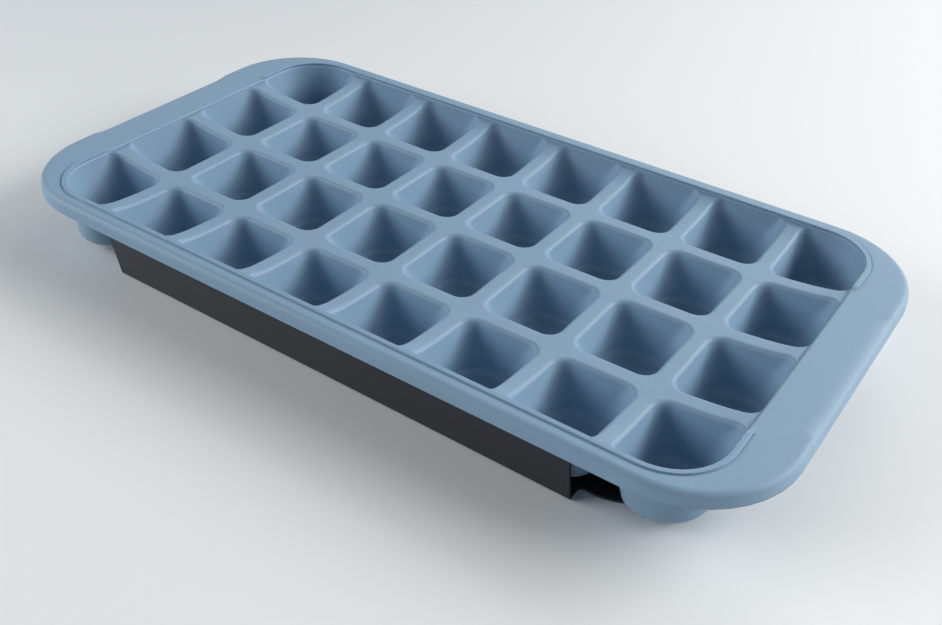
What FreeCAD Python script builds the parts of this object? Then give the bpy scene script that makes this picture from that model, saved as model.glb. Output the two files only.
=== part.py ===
import FreeCAD, Part

import math
import os
import Sketcher

# Silicone ice cube tray with its folded black base. Millimetres, +Z up, the short ends along X.
# The origin is on the table, under the middle of the base.

SIZES = {
    # Cells: eight columns along the tray, four rows across it.
    "columns": 8,
    "rows": 4,
    "pitch_long": 32,
    "pitch_wide": 35.8,
    "opening_long": 26.2,
    "opening_wide": 29.5,
    "cell_depth": 16.4,
    "cell_taper": 3,
    "cell_corner": 5,
    # Silicone: one wall thickness all over.
    "skin": 1.2,
    # Rim: it stands above the deck of webs, and its lip rolls down round the outside.
    "rim_rise": 4.1,
    "mouth_corner": 17.5,
    "grip_width": 16.4,
    "side_width": 6.3,
    "rim_corner": 31,
    "lip_drop": 5.4,
    "lip_round": 2.2,
    # Bead: a thin raised line round the mouth, open at the two grips.
    "bead_width": 1.45,
    "bead_rise": 0.5,
    "grip_length": 80,
    "grip_sink": 0.3,
    # Base: a sheet with two long walls folded up, and a rounded tongue under each end.
    "sheet": 0.8,
    "cup_clearance": 2.2,
    "bend_round": 1.2,
    "base_length": 180,
    "wall_lean": 3.4,
    "lip_gap": 1,
    "tongue_reach": 22,
    "tongue_inset": 5.9,
    "tongue_corner": 18,
    "relief_round": 1.5,
}

doc = FreeCAD.newDocument("ice_cube_tray")
sheet = doc.addObject("Spreadsheet::Sheet", "Sizes")
for row, (alias, value) in enumerate(SIZES.items(), start=1):
    sheet.set(f"A{row}", alias)
    sheet.set(f"B{row}", str(value))
    sheet.setAlias(f"B{row}", alias)
doc.recompute()

# How near two places are when they count as one.
TOUCH = 0.001

# Derived places, written as expressions on the sheet.
MOUTH_LONG = "((Sizes.columns - 1) * Sizes.pitch_long + Sizes.opening_long) / 2"
MOUTH_WIDE = "((Sizes.rows - 1) * Sizes.pitch_wide + Sizes.opening_wide) / 2"
RIM_LONG = f"({MOUTH_LONG} + Sizes.grip_width)"
RIM_WIDE = f"({MOUTH_WIDE} + Sizes.side_width)"
DECK = "(Sizes.sheet + Sizes.cup_clearance + Sizes.skin + Sizes.cell_depth)"
RIM_TOP = f"({DECK} + Sizes.rim_rise)"
RIM_UNDERSIDE = f"({RIM_TOP} - Sizes.skin)"
DECK_UNDERSIDE = f"({DECK} - Sizes.skin)"
LIP_BOTTOM = f"({RIM_TOP} - Sizes.lip_drop)"
WALL_TOP_WIDE = f"({RIM_WIDE} - Sizes.skin - Sizes.lip_gap)"
BASE_WIDE = f"({WALL_TOP_WIDE} - Sizes.wall_lean)"
TONGUE_WIDE = f"({BASE_WIDE} - Sizes.tongue_inset)"


def make_body(label):
    body = doc.addObject("PartDesign::Body", label)
    body.Label = label
    return body


def origin_part(body, role):
    return next(item for item in body.Origin.OriginFeatures if item.Role == role)


def new_sketch(body, name, plane, offset="0"):
    sketch = body.newObject("Sketcher::SketchObject", name)
    sketch.AttachmentSupport = (origin_part(body, plane), [""])
    sketch.MapMode = "FlatFace"
    sketch.setExpression("AttachmentOffset.Base.z", offset)
    doc.recompute()
    return sketch


def bind(sketch, constraint, expression):
    index = sketch.addConstraint(constraint)
    sketch.setExpression(f"Constraints[{index}]", expression)


def rounded_outline(sketch, half_long, half_wide, corner):
    """A rectangle with rounded corners about the middle of the tray."""
    long, wide, radius = [sketch.evalExpression(size) for size in (half_long, half_wide, corner)]
    straight_long = long - radius
    straight_wide = wide - radius
    line_ends = [
        ((-straight_long, -wide), (straight_long, -wide)),
        ((long, -straight_wide), (long, straight_wide)),
        ((straight_long, wide), (-straight_long, wide)),
        ((-long, straight_wide), (-long, -straight_wide)),
    ]
    centres = [
        (-straight_long, -straight_wide),
        (straight_long, -straight_wide),
        (straight_long, straight_wide),
        (-straight_long, straight_wide),
    ]
    lines = []
    for start, end in line_ends:
        line = Part.LineSegment(FreeCAD.Vector(*start, 0), FreeCAD.Vector(*end, 0))
        lines.append(sketch.addGeometry(line))
    arcs = []
    for turn, centre in enumerate(centres):
        circle = Part.Circle(FreeCAD.Vector(*centre, 0), FreeCAD.Vector(0, 0, 1), radius)
        start = math.pi + turn * math.pi / 2
        arcs.append(sketch.addGeometry(Part.ArcOfCircle(circle, start, start + math.pi / 2)))
    for index in range(4):
        sketch.addConstraint(Sketcher.Constraint("Tangent", lines[index - 1], 2, arcs[index], 1))
        sketch.addConstraint(Sketcher.Constraint("Tangent", arcs[index], 2, lines[index], 1))
        direction = "Horizontal" if index % 2 == 0 else "Vertical"
        sketch.addConstraint(Sketcher.Constraint(direction, lines[index]))
    places = [("DistanceY", 0, -wide, f"-({half_wide})"), ("DistanceX", 1, long, half_long)]
    places += [("DistanceY", 2, wide, half_wide), ("DistanceX", 3, -long, f"-({half_long})")]
    for kind, index, place, expression in places:
        bind(sketch, Sketcher.Constraint(kind, -1, 1, lines[index], 1, place), expression)
    for arc in arcs:
        bind(sketch, Sketcher.Constraint("Radius", arc, radius), corner)
    doc.recompute()


def pinned_outline(sketch, points):
    """A closed outline of straight sides, each corner held at its own place."""
    places = [tuple(sketch.evalExpression(part) for part in point) for point in points]
    lines = []
    for place, after in zip(places, places[1:] + places[:1]):
        line = Part.LineSegment(FreeCAD.Vector(*place, 0), FreeCAD.Vector(*after, 0))
        lines.append(sketch.addGeometry(line))
    for index, line in enumerate(lines):
        after = lines[(index + 1) % len(lines)]
        sketch.addConstraint(Sketcher.Constraint("Coincident", line, 2, after, 1))
    for line, point, place in zip(lines, points, places):
        bind(sketch, Sketcher.Constraint("DistanceX", -1, 1, line, 1, place[0]), point[0])
        bind(sketch, Sketcher.Constraint("DistanceY", -1, 1, line, 1, place[1]), point[1])
    doc.recompute()


def add_pad(body, name, sketch, length, symmetric=False, downward=False):
    pad = body.newObject("PartDesign::Pad", name)
    pad.Profile = sketch
    pad.SideType = "Symmetric" if symmetric else "One side"
    pad.Reversed = downward
    pad.setExpression("Length", length)
    doc.recompute()
    return pad


def cut_pocket(body, name, sketch, depth, upward=False):
    """A pocket that is known to have cut something away."""
    before = body.Shape.Volume
    pocket = body.newObject("PartDesign::Pocket", name)
    pocket.Profile = sketch
    pocket.Reversed = upward
    pocket.setExpression("Length", depth)
    doc.recompute()
    if pocket.Shape.Volume >= before:
        raise ValueError(f"{name} cuts nothing")
    return pocket


def ease_edges(body, name, radius, wanted, flat=False):
    """Round those edges of the body's last shape for which wanted(edge) is true.

    With flat, a chamfer takes the rounding's place, and touches it in its middle.
    """
    base = body.Tip
    names = [f"Edge{number}" for number, edge in enumerate(base.Shape.Edges, start=1) if wanted(edge)]
    if not names:
        raise ValueError(f"{name} finds no edge")
    feature = body.newObject("PartDesign::Chamfer" if flat else "PartDesign::Fillet", name)
    feature.Base = (base, names)
    if flat:
        feature.setExpression("Size", f"({radius}) * (2 - sqrt(2))")
    else:
        feature.setExpression("Radius", radius)
    doc.recompute()
    return feature


def lies_at(edge, axis, place):
    """Whether the whole edge or face lies on the plane where that axis has that value."""
    box = edge.BoundBox
    low = getattr(box, f"{axis}Min")
    high = getattr(box, f"{axis}Max")
    return abs(low - place) < TOUCH and abs(high - place) < TOUCH


def cell_form(name, cell, top, growth, flat):
    """Tapered forms of one kind of cell, from its outline at height top down to its floor.

    cell gives the column and row of its first place and whether its outer corner follows the
    mouth's. growth moves the sides outwards, for the outside of the cups, and flat makes their plain
    corners flats.
    """
    column, row, at_corner = cell
    body = make_body(name)
    middle_x = f"({column} - (Sizes.columns - 1) / 2) * Sizes.pitch_long"
    middle_y = f"({row} - (Sizes.rows - 1) / 2) * Sizes.pitch_wide"
    left = f"{middle_x} - Sizes.opening_long / 2 - {growth}"
    right = f"{middle_x} + Sizes.opening_long / 2 + {growth}"
    front = f"{middle_y} - Sizes.opening_wide / 2 - {growth}"
    back = f"{middle_y} + Sizes.opening_wide / 2 + {growth}"
    outline = new_sketch(body, f"{name}_outline", "XY_Plane", top)
    pinned_outline(outline, [(left, front), (right, front), (right, back), (left, back)])
    block = add_pad(body, f"{name}_block", outline, "Sizes.cell_depth", downward=True)
    height = block.Shape.BoundBox.ZLength
    middle = block.Shape.BoundBox.Center

    def is_outer(edge):
        centre = edge.BoundBox.Center
        return at_corner and centre.x < middle.x and centre.y < middle.y

    def is_upright(edge):
        return edge.BoundBox.ZLength > height - TOUCH

    if at_corner:
        corner = f"Sizes.mouth_corner + {growth}"
        ease_edges(body, f"{name}_corner", corner, lambda edge: is_upright(edge) and is_outer(edge))
    before = body.Shape.Volume
    base = body.Tip
    draft = body.newObject("PartDesign::Draft", f"{name}_taper")
    faces = list(enumerate(base.Shape.Faces, start=1))
    draft.Base = (base, [f"Face{number}" for number, face in faces if face.BoundBox.ZLength > TOUCH])
    upper = next(number for number, face in faces if lies_at(face, "Z", base.Shape.BoundBox.ZMax))
    draft.NeutralPlane = (base, [f"Face{upper}"])
    draft.setExpression("Angle", "atan(Sizes.cell_taper / Sizes.cell_depth)")
    doc.recompute()
    if draft.Shape.Volume > before:
        draft.Reversed = True
        doc.recompute()
    ease_edges(
        body,
        f"{name}_corners",
        f"Sizes.cell_corner + {growth}",
        lambda edge: is_upright(edge) and not is_outer(edge),
        flat,
    )
    return body


# The four kinds of cell: the column and row of the first, whether it is a corner cell, how many
# there are along and across the tray, and the middle planes that mirror them.
KINDS = {
    "middle": ((1, 1, False), "Sizes.columns - 2", "Sizes.rows - 2", ()),
    "side": ((1, 0, False), "Sizes.columns - 2", None, ("XZ_Plane",)),
    "end": ((0, 1, False), None, "Sizes.rows - 2", ("YZ_Plane",)),
    "corner": ((0, 0, True), None, None, ("YZ_Plane", "XZ_Plane")),
}


def cell_forms(name, top, growth, flat=False):
    """The forms of all the cells, one body for each kind."""
    forms = []
    for kind, (cell, along, across, mirrors) in KINDS.items():
        body = cell_form(f"{kind}_{name}", cell, top, growth, flat)
        steps = []
        for axis, count, pitch in (("X_Axis", along, "pitch_long"), ("Y_Axis", across, "pitch_wide")):
            if count:
                pattern = body.newObject("PartDesign::LinearPattern", f"{kind}_{name}_{axis}")
                pattern.Direction = (origin_part(body, axis), [""])
                pattern.setExpression("Occurrences", count)
                pattern.setExpression("Length", f"({count} - 1) * Sizes.{pitch}")
                steps.append(pattern)
        for plane in mirrors:
            mirror = body.newObject("PartDesign::Mirrored", f"{kind}_{name}_{plane}")
            mirror.MirrorPlane = (origin_part(body, plane), [""])
            steps.append(mirror)
        group = body.newObject("PartDesign::MultiTransform", f"{kind}_{name}_pattern")
        group.TransformMode = "Whole shape"
        group.Transformations = steps
        body.Tip = group
        doc.recompute()
        forms.append(body)
    return forms


def combine(body, name, kind, tools):
    boolean = body.newObject("PartDesign::Boolean", name)
    boolean.Type = kind
    boolean.setObjects(tools)
    doc.recompute()
    return boolean


def build_tray():
    body = make_body("silicone_tray")

    rim = new_sketch(body, "rim_outline", "XY_Plane", LIP_BOTTOM)
    rounded_outline(rim, RIM_LONG, RIM_WIDE, "Sizes.rim_corner")
    add_pad(body, "rim", rim, "Sizes.lip_drop")
    top = sheet.evalExpression(RIM_TOP)
    ease_edges(body, "lip_roll", "Sizes.lip_round", lambda edge: lies_at(edge, "Z", top))

    under = new_sketch(body, "under_rim", "XY_Plane", LIP_BOTTOM)
    rounded_outline(
        under, f"{RIM_LONG} - Sizes.skin", f"{RIM_WIDE} - Sizes.skin", "Sizes.rim_corner - Sizes.skin"
    )
    cut_pocket(body, "lip_hollow", under, "Sizes.lip_drop - Sizes.skin", upward=True)

    well = new_sketch(body, "well_outline", "XY_Plane", DECK_UNDERSIDE)
    rounded_outline(
        well, f"{MOUTH_LONG} + Sizes.skin", f"{MOUTH_WIDE} + Sizes.skin", "Sizes.mouth_corner + Sizes.skin"
    )
    # It stands up into the middle of the flange, to join it.
    add_pad(body, "well", well, "Sizes.rim_rise + Sizes.skin / 2")

    bead = new_sketch(body, "bead_outline", "XY_Plane", RIM_TOP)
    width = "Sizes.bead_width"
    rounded_outline(bead, f"{MOUTH_LONG} + {width}", f"{MOUTH_WIDE} + {width}", f"Sizes.mouth_corner + {width}")
    add_pad(body, "bead", bead, "Sizes.bead_rise")

    grips = new_sketch(body, "grip_outline", "XY_Plane", f"{RIM_TOP} + Sizes.bead_rise")
    half = "Sizes.grip_length / 2"
    pinned_outline(grips, [
        (f"-({RIM_LONG}) - Sizes.skin", f"-{half}"),
        (f"{RIM_LONG} + Sizes.skin", f"-{half}"),
        (f"{RIM_LONG} + Sizes.skin", half),
        (f"-({RIM_LONG}) - Sizes.skin", half),
    ])
    cut_pocket(body, "grips", grips, "Sizes.bead_rise + Sizes.grip_sink")

    mouth = new_sketch(body, "mouth_outline", "XY_Plane", f"{RIM_TOP} + Sizes.bead_rise")
    rounded_outline(mouth, MOUTH_LONG, MOUTH_WIDE, "Sizes.mouth_corner")
    cut_pocket(body, "mouth", mouth, "Sizes.rim_rise + Sizes.bead_rise")

    combine(body, "cups", "Fuse", cell_forms("cup", DECK_UNDERSIDE, "Sizes.skin", flat=True))
    combine(body, "cells", "Cut", cell_forms("cell", DECK, "0"))
    return body


def build_base():
    body = make_body("support_base")

    section = new_sketch(body, "wall_section", "YZ_Plane")
    inner_top = f"{WALL_TOP_WIDE} - Sizes.sheet"
    inner_bottom = f"{BASE_WIDE} - Sizes.sheet + Sizes.wall_lean * Sizes.sheet / {RIM_UNDERSIDE}"
    pinned_outline(section, [
        (f"-({BASE_WIDE})", "0"),
        (BASE_WIDE, "0"),
        (WALL_TOP_WIDE, RIM_UNDERSIDE),
        (inner_top, RIM_UNDERSIDE),
        (inner_bottom, "Sizes.sheet"),
        (f"-({inner_bottom})", "Sizes.sheet"),
        (f"-({inner_top})", RIM_UNDERSIDE),
        (f"-({WALL_TOP_WIDE})", RIM_UNDERSIDE),
    ])
    add_pad(body, "folded_walls", section, "Sizes.base_length", symmetric=True)
    length = sheet.evalExpression("Sizes.base_length")
    thickness = sheet.evalExpression("Sizes.sheet")

    def is_bend(edge, height):
        return edge.BoundBox.XLength > length - TOUCH and lies_at(edge, "Z", height)

    ease_edges(body, "bend_outside", "Sizes.bend_round", lambda edge: is_bend(edge, 0))
    ease_edges(body, "bend_inside", "Sizes.bend_round - Sizes.sheet", lambda edge: is_bend(edge, thickness))

    floor = new_sketch(body, "tongue_outline", "XY_Plane")
    reach = "Sizes.base_length / 2 + Sizes.tongue_reach"
    rounded_outline(floor, reach, TONGUE_WIDE, "Sizes.tongue_corner")
    add_pad(body, "tongues", floor, "Sizes.sheet")
    half = sheet.evalExpression("Sizes.base_length / 2")
    side = sheet.evalExpression(TONGUE_WIDE)

    def is_inner_corner(edge):
        at_wall_end = lies_at(edge, "X", half) or lies_at(edge, "X", -half)
        at_tongue_side = lies_at(edge, "Y", side) or lies_at(edge, "Y", -side)
        return at_wall_end and at_tongue_side

    ease_edges(body, "relief", "Sizes.relief_round", is_inner_corner)
    return body


bodies = [build_tray(), build_base()]
doc.recompute()

for item in doc.Objects:
    if "Invalid" in item.State or "Error" in item.State:
        raise ValueError(f"{item.Name} did not build: {item.State}")

os.makedirs("parts", exist_ok=True)
for body in bodies:
    shape = body.Shape
    if shape.isNull() or not shape.isValid():
        raise ValueError(f"{body.Label} has no valid shape")
    shape.exportStep(f"parts/{body.Label}.step")
    print(body.Label, "solids", len(shape.Solids), "faces", len(shape.Faces), "volume", round(shape.Volume))
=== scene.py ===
# %% [markdown]
# A silicone ice cube tray on its folded black base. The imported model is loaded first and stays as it
# is: its two nodes give every size that the looks are fitted to. Lengths are in metres.

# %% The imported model
import math

import bmesh
import bpy
from mathutils import Euler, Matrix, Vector


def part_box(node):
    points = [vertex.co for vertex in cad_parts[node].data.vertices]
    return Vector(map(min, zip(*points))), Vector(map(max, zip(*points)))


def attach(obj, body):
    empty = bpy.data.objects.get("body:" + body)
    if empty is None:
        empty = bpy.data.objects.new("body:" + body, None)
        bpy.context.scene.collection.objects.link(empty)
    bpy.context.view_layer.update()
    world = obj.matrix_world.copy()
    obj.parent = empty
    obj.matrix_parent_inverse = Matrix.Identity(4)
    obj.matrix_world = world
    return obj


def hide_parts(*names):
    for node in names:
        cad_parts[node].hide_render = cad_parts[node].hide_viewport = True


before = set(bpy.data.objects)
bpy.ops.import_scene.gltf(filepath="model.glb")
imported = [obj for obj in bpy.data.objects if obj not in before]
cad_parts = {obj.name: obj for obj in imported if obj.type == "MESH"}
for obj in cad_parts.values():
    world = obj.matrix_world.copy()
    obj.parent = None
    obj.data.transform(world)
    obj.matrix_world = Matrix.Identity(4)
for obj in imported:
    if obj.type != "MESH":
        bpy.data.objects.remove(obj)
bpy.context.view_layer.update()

MM = 0.001
tray_low, tray_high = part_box("silicone_tray")
base_low, base_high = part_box("support_base")
print("tray", [round(high - low, 4) for low, high in zip(tray_low, tray_high)])
print("base", [round(high - low, 4) for low, high in zip(base_low, base_high)])

# %% [markdown]
# The tray is one thin moulding: a deck with a grid of cups hung in it, a rim round the deck and a lip
# that rolls down outside the rim. These sizes of the cells and the mouth are the solid's.

# %% Sizes of the tray
COLUMNS, ROWS = 8, 4
PITCH_X, PITCH_Y = 32 * MM, 35.8 * MM
OPENING_X, OPENING_Y = 26.2 * MM, 29.5 * MM
DEPTH = 16.4 * MM
TAPER = 3 * MM
SKIN = 1.2 * MM
MOUTH_X = ((COLUMNS - 1) * PITCH_X + OPENING_X) / 2
MOUTH_Y = ((ROWS - 1) * PITCH_Y + OPENING_Y) / 2
MOUTH_CORNER = 17.5 * MM
BEAD_RISE = 0.5 * MM
RIM_TOP = tray_high[2] - BEAD_RISE
RIM_RISE = 4.1 * MM
DECK = RIM_TOP - RIM_RISE
print("mouth", round(2 * MOUTH_X, 4), "by", round(2 * MOUTH_Y, 4), "deck at", round(DECK, 4))

# %% [markdown]
# A soft moulding has no sharp edges. The mouth of each cell is rolled over, its corners widen towards
# the floor and the floor runs into the walls. So a cell is a stack of outlines, one above the other,
# and each outline is a rounded rectangle. A helper gives the points of one outline. It always gives
# as many points, so two outlines can be joined point to point.

# %% One rounded outline
TURN_STEPS = 10
SIDE_STEPS = 8
QUARTER = TURN_STEPS + SIDE_STEPS
POINTS = 4 * QUARTER


def outline(left, right, front, back, radii):
    """Points round a rectangle, anticlockwise, from the start of its front left corner."""
    corners = [
        (left, front, 1, 1),
        (right, front, -1, 1),
        (right, back, -1, -1),
        (left, back, 1, -1),
    ]
    arcs = []
    for turn, ((x, y, side_x, side_y), radius) in enumerate(zip(corners, radii)):
        centre_x = x + side_x * radius
        centre_y = y + side_y * radius
        arc = []
        for step in range(TURN_STEPS + 1):
            angle = math.pi + (turn + step / TURN_STEPS) * math.pi / 2
            arc.append((centre_x + radius * math.cos(angle), centre_y + radius * math.sin(angle)))
        arcs.append(arc)
    points = []
    for turn, arc in enumerate(arcs):
        points += arc
        (x0, y0), (x1, y1) = arc[-1], arcs[(turn + 1) % 4][0]
        for step in range(1, SIDE_STEPS):
            share = step / SIDE_STEPS
            points.append((x0 + (x1 - x0) * share, y0 + (y1 - y0) * share))
    return points


print("points in an outline", POINTS)

# %% [markdown]
# The deck of a handled tray hangs a little from its rim. The photograph shows the webs lower in the
# middle of the tray than at its ends and sides, and where a web meets the rim it curves up into the
# wall. So every point of the deck is lifted by an amount that depends on its place: on how near it is
# to an end, and on how far it is inside the mouth.

# %% How the deck hangs
LIFT_ENDS, LIFT_MIDDLE = 0.6 * MM, -0.6 * MM
HANG_LIFT, HANG_REACH = 2.5 * MM, 30 * MM
FILLET_REACH = 8 * MM
FILLET_TOP = RIM_TOP - 1.0 * MM


def inside_mouth(x, y, growth):
    """How far a point is inside the mouth's outline, when that is grown by so much."""
    across = abs(x) - (MOUTH_X - MOUTH_CORNER)
    along = abs(y) - (MOUTH_Y - MOUTH_CORNER)
    out = math.hypot(max(across, 0), max(along, 0)) + min(max(across, along), 0)
    return max(0, MOUTH_CORNER + growth - out)


def deck_lift(x, inside):
    """How far the deck stands above its plain level, at a distance inside the mouth."""
    lift = LIFT_MIDDLE + (LIFT_ENDS - LIFT_MIDDLE) * (x / MOUTH_X) ** 2
    lift += HANG_LIFT * max(0, 1 - inside / HANG_REACH) ** 2
    if inside < FILLET_REACH:
        lift += (FILLET_TOP - DECK - lift) * (1 - inside / FILLET_REACH) ** 2
    return lift


webs = [round(DECK + deck_lift(x, HANG_REACH), 4) for x in (0, MOUTH_X)]
print("webs", webs, "at the wall", round(FILLET_TOP, 4))

# %% [markdown]
# Each level of a cell is a height, how far its sides stand out from the opening, and the radii of
# its corners. Cells beside the rim share a wall with it, which runs straight from the top of the rim
# down to the floor. The inside and the outside of the cups use the same levels, the outside one skin
# further out and down, with smaller rounds.

# %% The levels of a cell
MOUTH_RADIUS, FLOOR_RADIUS = 4.6 * MM, 7.8 * MM
EDGE_INSIDE, FLOOR_INSIDE = 1.3 * MM, 3.0 * MM
EDGE_OUTSIDE, FLOOR_OUTSIDE = 0.3 * MM, 2.4 * MM
ROUND_STEPS = 5
WALL_SHARES = (0.25, 0.5, 0.75)
SLOPE = TAPER / DEPTH
RIM_SLOPE = TAPER / (DEPTH + RIM_RISE)


def cell_levels(skin, edge, soft):
    """Levels from the deck down: height, growth of the free sides and of the rim's, corner radius."""
    turns = [step / ROUND_STEPS * math.pi / 2 for step in range(ROUND_STEPS + 1)]
    levels = []
    for angle in turns:
        out, down = edge * (1 - math.sin(angle)), edge * (1 - math.cos(angle))
        levels.append((down, skin + out - SLOPE * down, 0, MOUTH_RADIUS + skin + out))
    for share in WALL_SHARES:
        down = edge + (DEPTH - edge - soft) * share
        radius = MOUTH_RADIUS + (FLOOR_RADIUS - MOUTH_RADIUS) * share + skin
        levels.append((down, skin - SLOPE * down, 0, radius))
    for angle in turns:
        inward, down = soft * (1 - math.cos(angle)), DEPTH - soft * (1 - math.sin(angle))
        free = skin - inward - SLOPE * (DEPTH - soft)
        levels.append((down, free, inward, FLOOR_RADIUS + skin - inward))
    return [
        (DECK - skin - down, free, skin - inward - RIM_SLOPE * (RIM_RISE + down), radius)
        for down, free, inward, radius in levels
    ]


inside_levels = cell_levels(0, EDGE_INSIDE, FLOOR_INSIDE)
outside_levels = cell_levels(SKIN, EDGE_OUTSIDE, FLOOR_OUTSIDE)
print("levels", len(inside_levels), "floor at", round(inside_levels[-1][0], 4))

# %% [markdown]
# Next each level becomes the points of one cell. A corner of a cell turns in one of three ways: freely,
# a little tighter beside a wall of the rim, or as the mouth's own wide corner. A side that is the rim's
# follows the slope of its wall when the deck is lifted. So it needs the direction straight out from the
# mouth, which is found from the core left between the mouth's corners.

# %% The points of one cell
RIM_TIGHT = 0.75
LEAST_SIDE = 0.5 * MM


def from_mouth(x, y):
    """The point of the straight-sided core that is nearest, and the direction out from it."""
    core_x, core_y = MOUTH_X - MOUTH_CORNER, MOUTH_Y - MOUTH_CORNER
    near = Vector((max(-core_x, min(core_x, x)), max(-core_y, min(core_y, y))))
    return near, (Vector((x, y)) - near).normalized()


def cell_sides(column, row):
    """Which sides of a cell are the rim's: left, right, front, back."""
    return column == 0, column == COLUMNS - 1, row == 0, row == ROWS - 1


def level_outline(column, row, level, floor):
    """The points of one cell at one level, hung from the rim. The floor stays where it is."""
    height, free, rim, radius = level
    at_rim = cell_sides(column, row)
    growth = [rim if side else free for side in at_rim]
    middle_x = (column - (COLUMNS - 1) / 2) * PITCH_X
    middle_y = (row - (ROWS - 1) / 2) * PITCH_Y
    left = middle_x - OPENING_X / 2 - growth[0]
    right = middle_x + OPENING_X / 2 + growth[1]
    front = middle_y - OPENING_Y / 2 - growth[2]
    back = middle_y + OPENING_Y / 2 + growth[3]
    wide = min(MOUTH_CORNER + rim, min(right - left, back - front) - radius - LEAST_SIDE)
    tight = radius * min(1, RIM_TIGHT + (DECK - height) / DEPTH)
    radii = []
    for side_x, side_y in ((0, 2), (1, 2), (1, 3), (0, 3)):
        radii.append((radius, tight, wide)[at_rim[side_x] + at_rim[side_y]])
    points = []
    for x, y in outline(left, right, front, back, radii):
        inside = inside_mouth(x, y, rim)
        lift = deck_lift(x, inside) * (height - floor) / DEPTH
        outward = RIM_SLOPE * lift * max(0, 1 - inside / FILLET_REACH)
        away = from_mouth(x, y)[1] * outward
        points.append((x + away.x, y + away.y, height + lift))
    return points


def mouth_points(column, row):
    """Which edges of a cell's outline lie on the mouth, each by the number of its first point."""
    left, right, front, back = cell_sides(column, row)
    found = set()
    sides_and_corners = (front, left), (right, front), (back, right), (left, back)
    for turn, (side, before) in enumerate(sides_and_corners):
        start = turn * QUARTER
        if side and before:
            found.update(range(start, start + TURN_STEPS))
        if side:
            found.update(range(start + TURN_STEPS, start + QUARTER))
    return found


print("edges on the mouth of a corner cell", len(mouth_points(0, 0)))

# %% [markdown]
# The moulding is drawn first as a wire: the outlines of all the cells at the level of the deck, and
# the short ends of the webs between them, which meet the rim. Every point of the wire has a mark, a
# number that its copies keep when they are extruded. So each copy can be sent to its own place. The
# ends of the webs have a few more points, where the bead stops and a grip begins to soften.

# %% The wire of one sheet
GRIP_FRONT, GRIP_BACK = -41.7 * MM, 40 * MM
BEAD_END = 0.15 * MM
WEB_STOPS = (
    GRIP_FRONT, GRIP_FRONT + BEAD_END, -37.5 * MM, -33 * MM,
    33 * MM, 36.5 * MM, GRIP_BACK - BEAD_END, GRIP_BACK,
)


class Sheet:
    """One side of the moulding: its wire, and the places of its points at every level of the cells."""

    def __init__(self, name, levels):
        self.rings = [[] for _ in levels]
        self.cells, self.deck, self.mouth = [], [], []
        first = {}
        for column in range(COLUMNS):
            for row in range(ROWS):
                first[column, row] = len(self.rings[0])
                for ring, level in zip(self.rings, levels):
                    ring += level_outline(column, row, level, levels[-1][0])
                on_mouth = mouth_points(column, row)
                for here in range(POINTS):
                    start = first[column, row]
                    edge = (start + here, start + (here + 1) % POINTS)
                    self.cells.append(edge)
                    (self.mouth if here in on_mouth else self.deck).append(edge)
        last_row, last_column = ROWS - 1, COLUMNS - 1
        for column in range(last_column):
            here, after = first[column, 0], first[column + 1, 0]
            self.web_end(here + QUARTER, after + TURN_STEPS)
            here, after = first[column, last_row], first[column + 1, last_row]
            self.web_end(here + 2 * QUARTER + TURN_STEPS, after + 3 * QUARTER)
        for row in range(last_row):
            here, after = first[0, row], first[0, row + 1]
            self.web_end(here + 3 * QUARTER + TURN_STEPS, after)
            here, after = first[last_column, row], first[last_column, row + 1]
            self.web_end(here + 2 * QUARTER, after + QUARTER + TURN_STEPS)
        self.draw(name)

    def web_end(self, start, stop):
        """The edge where a web meets the rim, with points at the stops that lie on it."""
        points = self.rings[0]
        (x, low, z), high = points[start], points[stop][1]
        chain = [start]
        for y in WEB_STOPS:
            if low < y < high:
                chain.append(len(points))
                points.append((x, y, z))
        chain.append(stop)
        edges = list(zip(chain, chain[1:]))
        self.deck += edges
        self.mouth += edges

    def draw(self, name):
        """Makes the wire an object, with a mark on each of its points."""
        wire = bpy.data.meshes.new(name)
        edges = {frozenset(edge) for edge in self.cells + self.deck}
        wire.from_pydata(self.rings[0], [tuple(edge) for edge in edges], [])
        mark = wire.attributes.new("mark", "INT", "POINT")
        mark.data.foreach_set("value", list(range(len(wire.vertices))))
        self.piece = bpy.data.objects.new(name, wire)
        bpy.context.collection.objects.link(self.piece)


inner = Sheet("inner_sheet", inside_levels)
outer = Sheet("outer_sheet", outside_levels)
print("points in the wire", len(inner.rings[0]), "edges on the mouth", len(inner.mouth))

# %% [markdown]
# The deck is the flat region between the outlines, and Blender's fill closes it in one go. Then the
# outlines are extruded down, level by level, and every new point goes to its place on the next level.
# The last outlines are filled for the floors. Extruding keeps the walls joined to the deck.

# %% Selecting, filling and extruding
def select_edges(piece, edges):
    """Selects just these edges, each a pair of point numbers, and opens the piece in edit mode."""
    bpy.ops.object.select_all(action="DESELECT")
    piece.select_set(True)
    bpy.context.view_layer.objects.active = piece
    wanted = {frozenset(edge) for edge in edges}
    mesh = piece.data
    for part in (mesh.vertices, mesh.edges, mesh.polygons):
        part.foreach_set("select", [False] * len(part))
    chosen = [frozenset(edge.vertices) in wanted for edge in mesh.edges]
    mesh.edges.foreach_set("select", chosen)
    bpy.ops.object.mode_set(mode="EDIT")
    bpy.ops.mesh.select_mode(type="EDGE")


def extrude_through(piece, rings):
    """Extrudes the selected edges again and again, each new point to its place in the next ring."""
    for places in rings:
        bpy.ops.mesh.extrude_edges_indiv()
        drawing = bmesh.from_edit_mesh(piece.data)
        mark = drawing.verts.layers.int["mark"]
        for point in drawing.verts:
            if point.select:
                point.co = places[point[mark]]
        bmesh.update_edit_mesh(piece.data)


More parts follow.
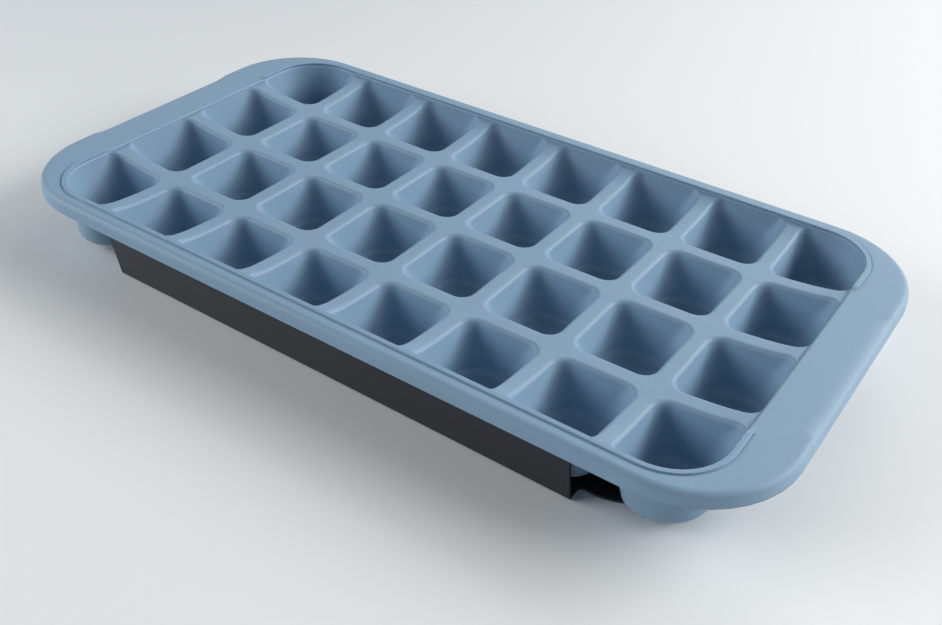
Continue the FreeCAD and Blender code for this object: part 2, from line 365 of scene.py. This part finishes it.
for sheet in (inner, outer):
    select_edges(sheet.piece, sheet.deck)
    bpy.ops.mesh.fill(use_beauty=True)
    bpy.ops.object.mode_set(mode="OBJECT")
    select_edges(sheet.piece, sheet.cells)
    extrude_through(sheet.piece, sheet.rings[1:])
    bpy.ops.mesh.fill(use_beauty=True)
    bpy.ops.object.mode_set(mode="OBJECT")
    print(sheet.piece.name, "faces", len(sheet.piece.data.polygons))

# %% [markdown]
# The rim follows the mouth all round, but it isn't as wide at the ends as along the sides, and its
# outer corners are rounder. So a place on the rim is given by its share of the way from the mouth's
# outline to the rim's, and by a distance straight out. The grips at the two ends have no bead. They
# lie a little lower, and roll over more softly.

# %% Places on the rim
RIM_X, RIM_Y = tray_high[0], tray_high[1]
RIM_CORNER = 32.5 * MM


def rim_place(x, y, share, out):
    """A point on the rim beside x, y: its share of the way from mouth to rim, and how far out."""
    near, away = from_mouth(x, y)
    wider_x = (RIM_X - RIM_CORNER) / (MOUTH_X - MOUTH_CORNER)
    wider_y = (RIM_Y - RIM_CORNER) / (MOUTH_Y - MOUTH_CORNER)
    centre_x = near.x * (1 + (wider_x - 1) * share)
    centre_y = near.y * (1 + (wider_y - 1) * share)
    reach = MOUTH_CORNER + (RIM_CORNER - MOUTH_CORNER) * share + out
    place = Vector((centre_x, centre_y)) + away * reach
    return place.x, place.y


def smooth_step(low, high, value):
    """0 below the low value, 1 above the high one, and a soft curve from one to the other."""
    share = min(1, max(0, (value - low) / (high - low)))
    return share * share * (3 - 2 * share)


def grip_at(y, blend):
    """1 at a grip, 0 elsewhere. Only the two short ends of the rim come so near to the middle."""
    half = GRIP_BACK if y > 0 else -GRIP_FRONT
    return 1 - smooth_step(half - blend, half, abs(y))


print("rim", round(2 * RIM_X, 4), "by", round(2 * RIM_Y, 4))

# %% [markdown]
# The section of the rim is a row of places, as on a drawing of it cut through. Under the bead the wall
# steps back into a fine recess. The bead has small rounded edges and a shallow dip in its top, and a
# groove lies outside it. From there the flange runs level to the roll, which turns down to the lip.
# The lip stands a little higher round the corners of the tray. At the grips the bead and the groove
# stop, and the edges are rounder.

# %% The section of the rim
BEAD_WIDTH = 1.6 * MM
BEAD_EDGE, BEAD_EDGE_GRIP = 0.22 * MM, 0.35 * MM
BEAD_DIP = 0.06 * MM
BEVEL = 0.3
GROOVE = 0.17 * MM
GROOVE_START, GROOVE_STOP, FLANGE_START = 0.03 * MM, 0.18 * MM, 0.5 * MM
FLANGE_SHARES = (0.1, 0.4, 0.7, 0.9)
RECESS = 0.25 * MM
GRIP_SINK, GRIP_BLEND = 0.12 * MM, 6 * MM
ROLL, ROLL_GRIP, ROLL_STEPS = 2.2 * MM, 3.0 * MM, 7
LIP_BOTTOM, LIP_CORNERS = RIM_TOP - 5.1 * MM, 0.35 * MM
LIP_EDGE = 0.12 * MM
FLANGE_UNDER = base_high[2]

# Each point of the recess: how far back, how far down, and how much further down at a grip.
RECESS_POINTS = (
    (RECESS / 2, 0.75 * MM, 0.1 * MM),
    (RECESS, 0.4 * MM, 0.35 * MM),
    (0, 0.2 * MM, 0.45 * MM),
)
# Each point of the lip's foot: how far out, and how far above its lowest edge.
FOOT_POINTS = ((-LIP_EDGE, 0.5 * MM), (0, 0.34 * MM), (0, 0.1 * MM), (-0.1 * MM, 0))


def lip_bottom(x, y):
    """The lowest edge of the lip, which stands a little higher round the corners."""
    away = from_mouth(x, y)[1]
    return LIP_BOTTOM + LIP_CORNERS * 2 * abs(away.x * away.y)


def roll_places(out, top, wide, tall):
    """A quarter turn from the flange down to the lip, as wide and as tall as given."""
    angles = [step / ROLL_STEPS * math.pi / 2 for step in range(ROLL_STEPS + 1)]
    return [(1, out - wide * (1 - math.sin(a)), top - tall * (1 - math.cos(a))) for a in angles]


def upper_section(x, y):
    """Places of the upper side, from the wall of the mouth to the edge of the lip."""
    bead = 1 - grip_at(y, BEAD_END)
    soft = grip_at(y, GRIP_BLEND)
    top = RIM_TOP - GRIP_SINK * soft
    crown = top + BEAD_RISE * bead
    foot = top - GROOVE * bead
    inner_edge = BEAD_EDGE + BEAD_EDGE_GRIP * soft
    outer_edge = BEAD_EDGE * bead
    flange = BEAD_WIDTH + FLANGE_START
    roll = ROLL + ROLL_GRIP * soft
    places = [(0, back, top - down - lower * soft) for back, down, lower in RECESS_POINTS]
    places += [
        (0, 0, crown - inner_edge),
        (0, BEVEL * inner_edge, crown - BEVEL * inner_edge),
        (0, inner_edge, crown),
        (0, BEAD_WIDTH / 2, crown - BEAD_DIP * bead),
        (0, BEAD_WIDTH - BEAD_EDGE, crown),
        (0, BEAD_WIDTH - BEVEL * BEAD_EDGE, crown - BEVEL * outer_edge),
        (0, BEAD_WIDTH, crown - outer_edge),
        (0, BEAD_WIDTH + GROOVE_START, foot),
        (0, BEAD_WIDTH + GROOVE_STOP, foot),
        (0, flange, top),
    ]
    for share in FLANGE_SHARES:
        places.append((share, flange * (1 - share) - roll * share, top))
    places += roll_places(-LIP_EDGE, top, roll, ROLL)
    bottom = lip_bottom(x, y)
    places += [(1, out, bottom + up) for out, up in FOOT_POINTS]
    return [(*rim_place(x, y, share, out), height) for share, out, height in places]


def under_section(x, y):
    """Places of the underside, one skin further in."""
    soft = grip_at(y, GRIP_BLEND)
    under = FLANGE_UNDER - GRIP_SINK * soft
    roll = ROLL - SKIN + ROLL_GRIP * soft
    places = [(0, SKIN, under), (0.5, -roll / 2, under)]
    places += roll_places(-SKIN, under, roll, ROLL - SKIN)
    places.append((1, -SKIN, lip_bottom(x, y)))
    return [(*rim_place(x, y, share, out), height) for share, out, height in places]


print("places above", len(upper_section(0, MOUTH_Y)), "and below", len(under_section(0, MOUTH_Y)))

# %% [markdown]
# The rim is made by extruding the open edge of the deck again and again. Each time the new points go
# to their places in the section. The underside takes one step more, to the edge of the lip, where the
# upper side has ended.

# %% The rim and the lip
def add_rim(sheet, section, *more):
    """Extrudes the mouth of a sheet through its section, and gives back the last ring of places."""
    marks = {mark for edge in sheet.mouth for mark in edge}
    sections = {mark: section(*sheet.rings[0][mark][:2]) for mark in marks}
    steps = len(next(iter(sections.values())))
    rings = [{mark: sections[mark][step] for mark in marks} for step in range(steps)]
    rings += more
    select_edges(sheet.piece, sheet.mouth)
    extrude_through(sheet.piece, rings)
    bpy.ops.object.mode_set(mode="OBJECT")
    print(sheet.piece.name, "rim steps", len(rings))
    return rings[-1]


lip_edge = add_rim(inner, upper_section)
add_rim(outer, under_section, lip_edge)

# %% [markdown]
# Both sheets now end at the same points at the foot of the lip. Joined into one mesh and merged there,
# they close the moulding. No edge may be left with one face alone.

# %% One closed moulding
MERGE = 0.001 * MM

tray = inner.piece
tray.name = tray.data.name = "tray_moulding"
bpy.ops.object.select_all(action="DESELECT")
outer.piece.select_set(True)
tray.select_set(True)
bpy.context.view_layer.objects.active = tray
bpy.ops.object.join()
bpy.ops.object.mode_set(mode="EDIT")
bpy.ops.mesh.select_mode(type="EDGE")


def open_edges(piece):
    """Selects the edges that only one face has, and counts them."""
    bpy.ops.mesh.select_all(action="DESELECT")
    bpy.ops.mesh.select_non_manifold(use_non_contiguous=False)
    return sum(1 for edge in bmesh.from_edit_mesh(piece.data).edges if edge.select)


print("open edges", open_edges(tray))
bpy.ops.mesh.remove_doubles(threshold=MERGE)
print("open edges left", open_edges(tray))
bpy.ops.mesh.select_all(action="SELECT")
bpy.ops.mesh.normals_make_consistent(inside=False)
bpy.ops.object.mode_set(mode="OBJECT")

# %% [markdown]
# A Weighted Normal modifier lets the large flat faces set the shading, so that the light breaks only
# at the rolled edges. Then the moulding takes the place of the plain solid, in the same body.

# %% Its shading and its place in the frame
bpy.ops.object.shade_smooth()
weighted = tray.modifiers.new("weighted", "WEIGHTED_NORMAL")
weighted.mode = "FACE_AREA"
bpy.ops.object.modifier_apply(modifier=weighted.name)
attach(tray, "root")
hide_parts("silicone_tray")
tray.data.calc_loop_triangles()
print("tray triangles", len(tray.data.loop_triangles))

# %% [markdown]
# The finishes are written as sums. One small class holds the output of a node, and its operators add
# the Math nodes. One method of the recipe adds every other kind of node.

# %% A recipe for a finish
class Flow:
    """A number that varies over a surface."""

    def __init__(self, recipe, socket):
        self.recipe, self.socket = recipe, socket

    def maths(self, operation, other):
        return self.recipe.add("ShaderNodeMath", {"operation": operation}, {0: self, 1: other})

    def __add__(self, other):
        return self.maths("ADD", other)

    def __sub__(self, other):
        return self.maths("SUBTRACT", other)

    def __mul__(self, other):
        return self.maths("MULTIPLY", other)

    def __lt__(self, other):
        return self.maths("LESS_THAN", other)


class Recipe:
    """The material of one finish."""

    def __init__(self, name):
        self.material = bpy.data.materials.new(name)
        self.material.use_nodes = True
        self.tree = self.material.node_tree
        self.shader = self.tree.nodes["Principled BSDF"]
        self.place = self.add("ShaderNodeTexCoord", {}, {}, "Object")

    def add(self, kind, settings, inputs, output=0):
        """Adds a node: first its settings, then the values or links of its sockets."""
        node = self.tree.nodes.new(kind)
        for name, value in settings.items():
            setattr(node, name, value)
        for key, value in inputs.items():
            self.feed(node.inputs[key], value)
        return Flow(self, node.outputs[output])

    def feed(self, socket, value):
        """Links a socket to a varying number, or sets it to a fixed one."""
        if isinstance(value, Flow):
            self.tree.links.new(value.socket, socket)
        else:
            socket.default_value = value

    def noise(self, scale, detail):
        values = {"Vector": self.place, "Scale": scale, "Detail": detail}
        return self.add("ShaderNodeTexNoise", {"noise_dimensions": "3D"}, values, "Fac")

    def specks(self, scale, output):
        """Points scattered in space: the distance to the nearest one, or its own random colour."""
        settings = {"voronoi_dimensions": "3D", "feature": "F1"}
        values = {"Vector": self.place, "Scale": scale}
        return self.add("ShaderNodeTexVoronoi", settings, values, output)

    def axis(self, number):
        return self.add("ShaderNodeSeparateXYZ", {}, {0: self.place}, number)

    def blend(self, share, first, second):
        return self.add("ShaderNodeMix", {"data_type": "RGBA"}, {0: share, 6: first, 7: second}, 2)

    def range(self, value, low, high, to_low, to_high):
        """Stretches a number from one range to another, and holds it there."""
        values = {"Value": value, "From Min": low, "From Max": high}
        values.update({"To Min": to_low, "To Max": to_high})
        return self.add("ShaderNodeMapRange", {"clamp": True}, values)

    def bump(self, height, distance, normal=None):
        values = {"Height": height, "Distance": distance, "Strength": 1.0}
        if normal:
            values["Normal"] = normal
        return self.add("ShaderNodeBump", {}, values)

    def finish(self, **values):
        for name, value in values.items():
            self.feed(self.shader.inputs[name.replace("_", " ")], value)


def colour(red, green, blue):
    """A colour as it is seen on a screen, 0 to 255, turned into light."""
    parts = [value / 255 for value in (red, green, blue)]
    parts = [part / 12.92 if part <= 0.04045 else ((part + 0.055) / 1.055) ** 2.4 for part in parts]
    return (*parts, 1)


print("white", colour(255, 255, 255))

# %% [markdown]
# The silicone is a grey blue with a matt skin. It came out of a bead-blasted mould, so its surface is
# finely grained, and a little of the dust and lint that silicone always draws lies on it. The grain is
# bump of a few hundredths of a millimetre, and the colour changes slightly over large areas.

# %% The silicone
GRAIN_DEPTH, RIPPLE_DEPTH = 0.03 * MM, 0.06 * MM
DUST_SCALE = 170
DUST_SIZE, DUST_SHARE = 0.035, 0.06
SILICONE_INDEX = 1.42

silicone = Recipe("silicone_matt_blue")
cloud = silicone.noise(scale=18, detail=3)
grain = silicone.noise(scale=2600, detail=2)
ripple = silicone.noise(scale=160, detail=2)
cloudy = silicone.range(cloud, 0.3, 0.7, 0, 1)
blue = silicone.blend(cloudy, colour(124, 154, 179), colour(130, 159, 184))
blue = silicone.blend(silicone.range(grain, 0.35, 0.65, 0, 0.12), blue, colour(145, 172, 196))
near = silicone.specks(DUST_SCALE, "Distance")
kind = silicone.specks(DUST_SCALE, "Color")
rare = silicone.add("ShaderNodeSeparateColor", {}, {0: kind}, 0)
dust = (near < DUST_SIZE) * (rare < DUST_SHARE)
matt = silicone.range(cloud, 0.3, 0.7, 0.46, 0.54) + silicone.range(grain, 0.3, 0.7, -0.03, 0.03)
silicone.finish(
    Base_Color=silicone.blend(dust, blue, colour(205, 212, 220)),
    Roughness=matt,
    Normal=silicone.bump(grain, GRAIN_DEPTH, silicone.bump(ripple, RIPPLE_DEPTH)),
    IOR=SILICONE_INDEX,
)
tray.data.materials.clear()
tray.data.materials.append(silicone.material)
print("silicone nodes", len(silicone.tree.nodes))

# %% [markdown]
# The base is black, with an even satin coat. The coat has the shallow waviness of sprayed paint, which
# shows only where light glances along the wall. The solid's own shape is right, so only its finish
# changes.

# %% The coat of the base
PEEL_DEPTH, DOT_DEPTH = 0.04 * MM, 0.01 * MM

coat = Recipe("base_satin_black")
drift = coat.noise(scale=22, detail=3)
peel = coat.noise(scale=700, detail=2)
dots = coat.noise(scale=3200, detail=1)
black = coat.blend(coat.range(drift, 0.3, 0.7, 0, 1), colour(22, 25, 32), colour(29, 33, 41))
satin = coat.range(drift, 0.3, 0.7, 0.40, 0.50) + coat.range(dots, 0.3, 0.7, -0.04, 0.04)
coat.finish(
    Base_Color=coat.blend(coat.range(dots, 0.5, 0.75, 0, 0.35), black, colour(52, 56, 63)),
    Roughness=satin,
    Normal=coat.bump(peel, PEEL_DEPTH, coat.bump(dots, DOT_DEPTH)),
)
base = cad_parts["support_base"]
base.data.materials.clear()
base.data.materials.append(coat.material)
for face in base.data.polygons:
    face.material_index = 0
print("base nodes", len(coat.tree.nodes))

# %% [markdown]
# The table is plain and pale, with painted light: its colour is greyer towards the back left and
# lighter towards the viewer, as the lamps' falloff would make it.
# It reaches far enough that no edge of it shows in the photograph's view.

# %% The table
TABLE_SIDE = 6
TABLE_GAP = 0.1 * MM
FAR, NEAR = -1.2, 0.35

bpy.ops.object.select_all(action="DESELECT")
bpy.ops.mesh.primitive_plane_add(size=TABLE_SIDE, location=(0, 0, -TABLE_GAP))
table = bpy.context.active_object
table.name = table.data.name = "table"
bpy.ops.object.transform_apply(location=True, rotation=True, scale=True)
top = Recipe("table_pale")
# Painted light falloff: the colour is darker to the back left and lighter towards the viewer.
painted_light_share = top.range(top.axis(0) - top.axis(1), FAR, NEAR, 0, 1)
pale_with_painted_light = top.blend(painted_light_share, colour(204, 209, 216), colour(238, 241, 242))
faint = top.range(top.noise(scale=3, detail=2), 0.3, 0.7, 0, 0.06)
top.finish(
    Base_Color=top.blend(faint, pale_with_painted_light, colour(190, 196, 206)),
    Roughness=0.6,
)
table.data.materials.append(top.material)
print("table", [round(side, 2) for side in table.dimensions])

# %% [markdown]
# The light is that of a pale room. The world is dim where it lights the tray, so that the deep cells
# stay dark at the floor, as in the photograph. It is brighter in reflections, for the sheen on the rim,
# and brightest where a camera looks straight at it, so that views from the side have a pale backdrop.

# %% The room
ROOM, SHEEN, BACKDROP = 0.11, 0.45, 0.7

world = bpy.data.worlds.new("studio")
bpy.context.scene.world = world
world.use_nodes = True
nodes, links = world.node_tree.nodes, world.node_tree.links
background = nodes["Background"]
background.inputs["Color"].default_value = colour(238, 241, 246)
paths = nodes.new("ShaderNodeLightPath")
plain = nodes.new("ShaderNodeValue")
plain.outputs[0].default_value = ROOM
strength = plain.outputs[0]
for ray, more in (("Is Glossy Ray", SHEEN), ("Is Camera Ray", BACKDROP)):
    total = nodes.new("ShaderNodeMath")
    total.operation = "MULTIPLY_ADD"
    total.inputs[1].default_value = more
    links.new(paths.outputs[ray], total.inputs[0])
    links.new(strength, total.inputs[2])
    strength = total.outputs[0]
links.new(strength, background.inputs["Strength"])
print("room", ROOM, "reflected", round(ROOM + SHEEN, 2), "seen", round(ROOM + BACKDROP, 2))

# %% [markdown]
# Three wide soft lamps do the rest. The window is on the right, a little behind the tray. The skylight
# is far behind it and higher, and lights the tops. The bounce is a weaker lamp on the left in front.

# %% The lamps
def add_lamp(name, place, size, watts, tint):
    """A wide soft lamp that shines at the middle of the tray."""
    bpy.ops.object.select_all(action="DESELECT")
    bpy.ops.object.light_add(type="AREA", location=place)
    lamp = bpy.context.active_object
    lamp.name = lamp.data.name = name
    lamp.data.shape = "RECTANGLE"
    lamp.data.size, lamp.data.size_y = size
    lamp.data.energy = watts
    lamp.data.color = tint
    lamp.rotation_euler = (-Vector(place)).to_track_quat("-Z", "Y").to_euler()
    return lamp


window = add_lamp("window", (0.88, 0.62, 0.60), (1.0, 0.55), 16.5, (1, 0.99, 0.97))
skylight = add_lamp("skylight", (0.10, 1.60, 0.95), (1.9, 0.75), 11, (0.99, 1, 1))
bounce = add_lamp("bounce", (-0.85, -0.65, 0.50), (0.9, 0.6), 9.4, (0.97, 0.99, 1))
print("lamps", [lamp.data.energy for lamp in (window, skylight, bounce)])

# %% [markdown]
# The camera stands where the photograph was taken from. Its place, turn and lens were found by
# matching the corners of the cells and the outline of the rim.

# %% The camera
EYE_PLACE = (0.17974515, -0.25476736, 0.21184468)
EYE_TURN = (53.73212005, -1.6909149, 34.97865299)
LENS, SENSOR = 40.8201, 36

eye = bpy.data.cameras.new("eye")
eye.sensor_width = SENSOR
eye.lens = LENS
camera = bpy.data.objects.new("eye", eye)
bpy.context.collection.objects.link(camera)
camera.location = EYE_PLACE
camera.rotation_euler = Euler([math.radians(angle) for angle in EYE_TURN])
bpy.context.scene.camera = camera
bpy.context.scene.view_settings.view_transform = "Standard"
print("camera", [round(number, 3) for number in camera.location])
